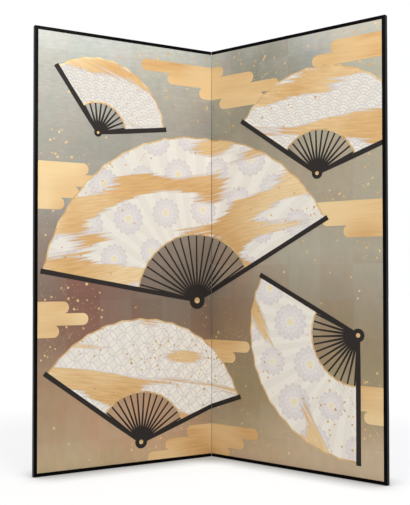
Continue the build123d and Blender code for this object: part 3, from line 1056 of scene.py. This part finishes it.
@dataclass
class Fan:
    """A painted open fan: a pleated leaf on slats, with two guards and a pivot."""

    name: str
    pivot: tuple[float, float]
    radius: float
    sweep: float  # degrees
    tilt: float  # degrees clockwise
    pleats: int
    ornament: Ornament
    gold: float
    seed: float
    bare: float = 0.4  # share of the radius below the leaf
    heel: float = 0.05  # share of the radius beyond the pivot
    base: float = 0.3  # height of the leaf's paint
    pleat: float = 0.14  # height of a ridge over a valley
    bite: float = 5.0  # how far the leaf's edge draws in at a valley
    rim: float = 6.0  # width of the gilt edges
    margin: float = 14.0  # round the leaf and the sticks, kept clear of gold
    tuck: float = 10.0  # how far the slats run in under the leaf
    reach: float = 6.0  # how far the guards run out past it
    slat_widths: Triple = (8.0, 11.0, 6.5)  # at the foot, at the belly and at the outer end
    guard_widths: Triple = (14.0, 19.0, 20.0)
    head: float = 1.6  # how much wider than its heel the sticks' round head is
    eye: float = 0.36  # radius of the gold pivot, as a share of the heel
    stagger: float = 0.004  # from one slat up to the next, so that none are level where they cross
    gilt_top: float = 0.04  # height of the gilt edges over the leaf
    guard_top: float = 0.1
    pivot_top: float = 0.2

    @property
    def inner(self) -> float:
        """Inner radius of the leaf."""
        return self.radius * self.bare

    @property
    def half(self) -> float:
        """Half of the sweep, in radians."""
        return math.radians(self.sweep / 2)

    def placing(self) -> Matrix:
        """Matrix from the fan's own space, with its pivot at the origin and its middle upwards."""
        turn = Matrix.Rotation(-math.radians(self.tilt), 4, "Z")
        return Matrix.Translation((*self.pivot, 0)) @ turn

    def ground_at(self, x: float, y: float) -> Ground:
        """Say what a place on the screen is, as far as this fan goes.

        Args:
            x: Place along the screen.
            y: Height.

        Returns:
            The ground that a gold square would lie on.
        """
        local = self.placing().inverted() @ Vector((x, y, 0))
        beside = (abs(math.atan2(local.x, local.y)) - self.half) * local.length
        if local.length > self.radius + self.margin or beside > self.margin:
            return Ground.SILVER
        if self.inner + self.margin < local.length < self.radius - self.rim and beside < -self.margin:
            return Ground.LEAF
        return Ground.TAKEN

    def sector(self, low: float, high: float, rings: int) -> Mesh:
        """Spin a pleated sector about the pivot.

        Args:
            low: Inner radius.
            high: Outer radius.
            rings: How many bands it has between them.

        Returns:
            The sector, with the faces of each pleat numbered in turn.
        """
        mesh = bmesh.new()
        step = 2 * self.half / self.pleats
        start = Vector((math.sin(-self.half), math.cos(-self.half), 0))
        line = [mesh.verts.new(start * (low + (high - low) * i / rings)) for i in range(rings + 1)]
        for pair in zip(line, line[1:]):
            mesh.edges.new(pair)
        everything = mesh.verts[:] + mesh.edges[:]
        turn = {"axis": (0, 0, 1), "angle": -2 * self.half, "steps": self.pleats, "use_merge": False}
        bmesh.ops.spin(mesh, geom=everything, cent=(0, 0, 0), **turn)
        bmesh.ops.remove_doubles(mesh, verts=mesh.verts, dist=1e-3)
        for vert in mesh.verts:
            fold = round((math.atan2(vert.co.x, vert.co.y) + self.half) / step)
            if fold % 2:
                vert.co *= 1 - self.bite / self.radius
                vert.co.z = -self.pleat
        for face in mesh.faces:
            middle = face.calc_center_median()
            face.material_index = int((math.atan2(middle.x, middle.y) + self.half) / step) % 2
            if face.normal.z < 0:
                face.normal_flip()
        return mesh

    def slat(self, angle: float, length: float, widths: Triple) -> Mesh:
        """Cut one slat, narrow at the pivot.

        Args:
            angle: Its turn from the fan's middle, in radians.
            length: From the pivot to its outer end.
            widths: At its foot, at its belly and at its outer end.

        Returns:
            The flat slat.
        """
        mesh = bmesh.new()
        bmesh.ops.create_grid(mesh, x_segments=1, y_segments=6, size=1.0)
        foot, belly_end, fullness = -self.heel * self.radius, 1 / 1.4, 0.6
        for vert in mesh.verts:
            share = (vert.co.y + 1) / 2
            bulge = fullness * math.sin(math.pi * min(share / belly_end, 1.0))
            width = widths[0] + (widths[2] - widths[0]) * share + (widths[1] - widths[0]) * bulge
            vert.co = Vector((vert.co.x * width / 2, foot + (length - foot) * share, 0))
        bmesh.ops.rotate(mesh, cent=(0, 0, 0), matrix=Matrix.Rotation(-angle, 3, "Z"), verts=mesh.verts)
        return mesh

    def make(self, paint: Palette) -> None:
        """Paint the fan on the panels that it reaches.

        Args:
            paint: The painting's finishes.
        """
        place, ridge = self.placing(), self.base + self.pleat
        leaf, edge, sticks, pivot = (PaintLayer() for _ in range(4))
        leaf.take(self.sector(self.inner, self.radius, 3), place, ridge, -1)
        for low in (self.inner, self.radius - self.rim):
            edge.take(self.sector(low, low + self.rim, 1), place, ridge + self.gilt_top)
        for number in range(1, self.pleats, 2):
            angle = -self.half + number * 2 * self.half / self.pleats
            slat = self.slat(angle, self.inner + self.tuck, self.slat_widths)
            sticks.take(slat, place, self.base / 2 + self.stagger * (number % 8))
        for angle in (-self.half, self.half):
            guard = self.slat(angle, self.radius + self.reach, self.guard_widths)
            sticks.take(guard, place, ridge + self.guard_top)
        foot = self.radius * self.heel
        for layer, radius, top in (
            (sticks, foot + self.head, self.base),
            (pivot, foot * self.eye, ridge + self.pivot_top),
        ):
            disc = bmesh.new()
            bmesh.ops.create_circle(disc, cap_ends=True, segments=32, radius=radius)
            layer.take(disc, place, top)
        sides = [ShellWhite(self.ornament, self.seed, self.gold, turned) for turned in (False, True)]
        white = [finish.material() for finish in sides]
        for side in Side:
            for layer, part, finishes in (
                (leaf, "leaf", white),
                (edge, "gilt_edge", [paint.gold_leaf]),
                (sticks, "slats", [paint.black]),
                (pivot, "pivot", [paint.gold_leaf]),
            ):
                shape = layer.on(side)
                if shape:
                    put_piece(shape, f"{self.name}_fan_{part}", side, finishes)


@dataclass
class MistBand:
    """A bank of stylised mist: level bars with round ends, one above another."""

    bars: tuple[Triple, ...]  # left end, right end, middle height
    thickness: float = 46.0
    overlap: float = 1.0  # of one bar over the next
    roundness: float = 0.495  # radius of the ends, as a share of the thickness
    top: float = 0.1
    lift: float = 0.012  # from one bar to the next, so that none are level where they meet

    def distance(self, x: float, y: float) -> float:
        """Give the distance from a place on the screen to the band, below zero on it.

        Args:
            x: Place along the screen.
            y: Height.

        Returns:
            Millimetres.
        """
        half = self.thickness / 2
        gaps = []
        for left, right, middle in self.bars:
            beyond = max(left + half - x, 0, x - right + half)
            gaps.append(math.hypot(beyond, y - middle) - half)
        return min(gaps)

    def add_to(self, layer: PaintLayer) -> None:
        """Cut the band's bars.

        Args:
            layer: The layer of paint that takes them.
        """
        style = {"segments": 9, "profile": 0.5, "affect": "VERTICES", "material": -1}
        for number, (left, right, middle) in enumerate(self.bars):
            bar = bmesh.new()
            bmesh.ops.create_grid(bar, x_segments=1, y_segments=1, size=0.5)
            size = Vector((right - left, self.thickness + self.overlap, 1.0))
            bmesh.ops.scale(bar, vec=size, verts=bar.verts)
            bmesh.ops.translate(bar, vec=((left + right) / 2, middle, 0), verts=bar.verts)
            bmesh.ops.bevel(bar, geom=bar.verts[:], offset=self.thickness * self.roundness, **style)
            layer.take(bar, Matrix.Identity(4), self.top + self.lift * (number % 3))


@dataclass
class Scatter:
    """Gold leaf scattered over the picture: thick along the mist and thin elsewhere."""

    name: str
    count: int
    sizes: Triple  # smallest, largest and usual edge
    slimness: tuple[float, float]  # width to length
    spread: float  # how fast it thins away from the mist
    stray: float  # share that falls anywhere
    seed: int
    margin: float = 22.0  # from the screen's edges
    fold_margin: float = 8.0
    mist_margin: float = 6.0
    over_silver: float = 0.07  # height of its face above the sheet
    over_leaf: float = 0.66

    def make(self, fans: tuple[Fan, ...], mists: tuple[MistBand, ...], gold: Material) -> None:
        """Scatter the pieces.

        Args:
            fans: The fans.
            mists: The banks of mist.
            gold: Finish of the pieces.
        """
        draw = random.Random(self.seed)
        shapes = bmesh.new()
        reach = PANEL_WIDTH - self.margin
        placed = 0
        while placed < self.count:
            x, y = draw.uniform(-reach, reach), draw.uniform(self.margin, PANEL_HEIGHT - self.margin)
            near = min(band.distance(x, y) for band in mists)
            length, slimness = draw.triangular(*self.sizes), draw.uniform(*self.slimness)
            turn = draw.uniform(0, math.pi)
            if draw.random() > math.exp(-max(near, 0) / self.spread) + self.stray:
                continue
            grounds = {fan.ground_at(x, y) for fan in fans}
            on_leaf = Ground.LEAF in grounds
            on_mist = near < self.mist_margin and not on_leaf
            if abs(x) < self.fold_margin or Ground.TAKEN in grounds or on_mist:
                continue
            height = self.over_leaf if on_leaf else self.over_silver
            place = Matrix.Translation((x, y, height)) @ Matrix.Rotation(turn, 4, "Z")
            size = Matrix.Diagonal((length, length * slimness, 1, 1))
            bmesh.ops.create_grid(shapes, x_segments=1, y_segments=1, size=0.5, matrix=place @ size)
            placed += 1
        layer = PaintLayer()
        layer.take(shapes, Matrix.Identity(4), 0)
        for side in Side:
            put_piece(layer.on(side), self.name, side, [gold])


@dataclass
class Painting:
    """The picture over both panels: open fans, banks of gold mist and scattered gold on silver."""

    fans: tuple[Fan, ...] = (
        Fan("great", (-70.0, 660.0), 690.0, 142.0, -9.0, 34, Ornament.ROSETTES, 0.62, 1.0),
        Fan("lower_left", (-330.0, 92.0), 500.0, 124.0, 8.0, 28, Ornament.CIRCLES, 0.5, 3.1),
        Fan("lower_right", (668.0, 540.0), 478.0, 118.0, -121.0, 26, Ornament.ROSETTES, 0.15, 2.3),
        Fan("upper_right", (500.0, 1160.0), 420.0, 126.0, 8.0, 26, Ornament.WAVES, 0.55, 4.7),
        Fan("upper_left", (-520.0, 1330.0), 300.0, 118.0, 24.0, 20, Ornament.WAVES, 0.45, 5.2),
    )
    scattered: tuple[Scatter, ...] = (
        Scatter("gold_leaf_flecks", 330, (4.5, 11.0, 6.5), (0.8, 1.0), 75.0, 0.06, 7),
        Scatter("gold_leaf_threads", 56, (16.0, 40.0, 24.0), (0.035, 0.05), 60.0, 0.02, 11),
        Scatter("gold_leaf_dust", 1500, (1.6, 3.4, 2.2), (0.7, 1.0), 42.0, 0.01, 19),
    )
    mists: tuple[MistBand, ...] = (
        MistBand(((-330, 60, 1628), (-210, 210, 1582), (-60, 330, 1536), (40, 260, 1490))),
        MistBand(((560, 900, 1640), (480, 900, 1594))),
        MistBand(((-900, -560, 1180), (-900, -480, 1134), (-900, -600, 1088), (-900, -660, 1042))),
        MistBand(((440, 900, 1022), (520, 900, 976), (610, 900, 930))),
        MistBand(((-250, 190, 470), (-320, 120, 424), (-160, 60, 378), (-110, 20, 332))),
        MistBand(((-900, -640, 640), (-900, -560, 594), (-900, -680, 548))),
        MistBand(((-120, 230, 116), (-220, 160, 70), (-300, 90, 24))),
        MistBand(((640, 900, 330), (600, 900, 284), (690, 900, 238))),
    )

    def make(self) -> None:
        """Paint both panels."""
        paint = Palette()
        banks = PaintLayer()
        for band in self.mists:
            band.add_to(banks)
        for side in Side:
            put_piece(banks.on(side), "gold_mist", side, [paint.gold_paint])
        for fan in self.fans:
            fan.make(paint)
        for scatter in self.scattered:
            scatter.make(self.fans, self.mists, paint.gold_leaf)


# ---- The panels' own pieces ----


@dataclass
class Stock:
    """Materials that both panels share."""

    lacquer: Material = field(default_factory=BlackLacquer().material)
    softwood: Material = field(default_factory=PlanedWood("planed_cedar").material)
    bamboo: Material = field(
        default_factory=PlanedWood("split_bamboo", "D9C08A", "BFA066", 1.2, 0.45).material
    )
    underlay: Material = field(default_factory=PlainPaper().material)
    hinge: Material = field(default_factory=HingePaper().material)

    def finish_for(self, node: str) -> Material | None:
        """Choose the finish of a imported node.

        Args:
            node: Name of the node.

        Returns:
            The first that the name has a word for, or None.
        """
        words = {
            "_core_": self.softwood,
            "_lattice_": self.softwood,
            "_underlay": self.underlay,
            "hinge_": self.hinge,
            "_fold_edge_paper": self.hinge,
            "_pins": self.bamboo,
            "_frame_": self.lacquer,
        }
        return next((finish for word, finish in words.items() if word in node), None)


@dataclass
class Panel:
    """One panel: its two faces get their finish, and the frame bars are made anew."""

    side: Side

    def make(self, stock: Stock) -> None:
        """Dress the panel.

        Args:
            stock: The materials that both panels share.
        """
        dress(f"{self.side.prefix}_picture_sheet", SilverLeaf(self.side).material())
        dress(f"{self.side.prefix}_back_paper", BackPaper(self.side).material())
        FrameBars(self.side).make(stock.lacquer)
        LOG.info("%s panel dressed", self.side.prefix)


# ---- Studio ----


@dataclass
class Lamp:
    """A soft square lamp that points at the middle of the screen."""

    name: str
    at: Triple
    size: float
    power: float  # watts
    target: Triple = (0.0, 0.0, 0.9)

    def hang(self) -> None:
        """Hang the lamp where only its light is seen."""
        light = bpy.data.lights.new(self.name, "AREA")
        light.shape = "SQUARE"
        light.size = self.size
        light.energy = self.power
        lamp = put_object(self.name, light)
        lamp.location = self.at
        lamp.rotation_euler = (Vector(self.target) - Vector(self.at)).to_track_quat("-Z", "Y").to_euler()
        lamp.visible_camera = False


@dataclass
class Studio:
    """A white room: pale floor, soft lamps on both sides and above, and the camera."""

    ambient: float = 0.44
    floor_size: float = 30.0
    lamps: tuple[Lamp, ...] = (
        Lamp("left_softbox", (-2.3, -3.4, 3.0), 2.2, 27.0),
        Lamp("right_softbox", (2.3, -3.4, 3.0), 2.2, 61.0),
        Lamp("top_softbox", (0.0, -0.6, 3.6), 2.6, 36.0),
    )
    camera_at: Triple = (0.1447, -3.1810, 0.7520)
    yaw: float = 5.29
    pitch: float = 1.101
    lens: float = 56.76
    sensor: float = 36.0
    shift: tuple[float, float] = (0.0652, 0.0212)

    def make_world(self) -> None:
        """Make the air round the screen, which is white where it is seen and dimmer as light."""
        world = bpy.data.worlds.new("studio_air")
        world.use_nodes = True
        air = Node.AIR("FFFFFF", Node.CHOOSE(SEEN, self.ambient, 1.0))
        Tree(world.node_tree).fill(air, "ShaderNodeOutputWorld")
        bpy.context.scene.world = world

    def make_floor(self) -> None:
        """Make a wide pale floor."""
        mesh = bmesh.new()
        bmesh.ops.create_grid(mesh, x_segments=1, y_segments=1, size=self.floor_size)
        put_mesh(mesh, "studio_floor", [MattFloor().material()])

    def make_camera(self) -> None:
        """Set up the camera."""
        camera = bpy.data.cameras.new("studio_camera")
        camera.lens = self.lens
        camera.sensor_width = self.sensor
        camera.shift_x, camera.shift_y = self.shift
        camera.clip_end = 100.0
        view = put_object("studio_camera", camera)
        view.location = self.camera_at
        view.rotation_euler = (math.radians(90.0 + self.pitch), 0.0, math.radians(self.yaw))
        bpy.context.scene.camera = view

    def make(self) -> None:
        """Set up the whole studio."""
        self.make_world()
        self.make_floor()
        for lamp in self.lamps:
            lamp.hang()
        self.make_camera()
        bpy.context.scene.view_settings.view_transform = "Standard"
        LOG.info("studio ready")


def main() -> None:
    """Build and dress the screen, then the studio round it."""
    logging.basicConfig(level=logging.INFO, format="%(message)s")
    stock = Stock()
    for node in frame["nodes"]:
        finish = stock.finish_for(node)
        if finish:
            dress(node, finish)
    for side in Side:
        Panel(side).make(stock)
    Painting().make()
    Studio().make()


if __name__ == "__main__":
    main()
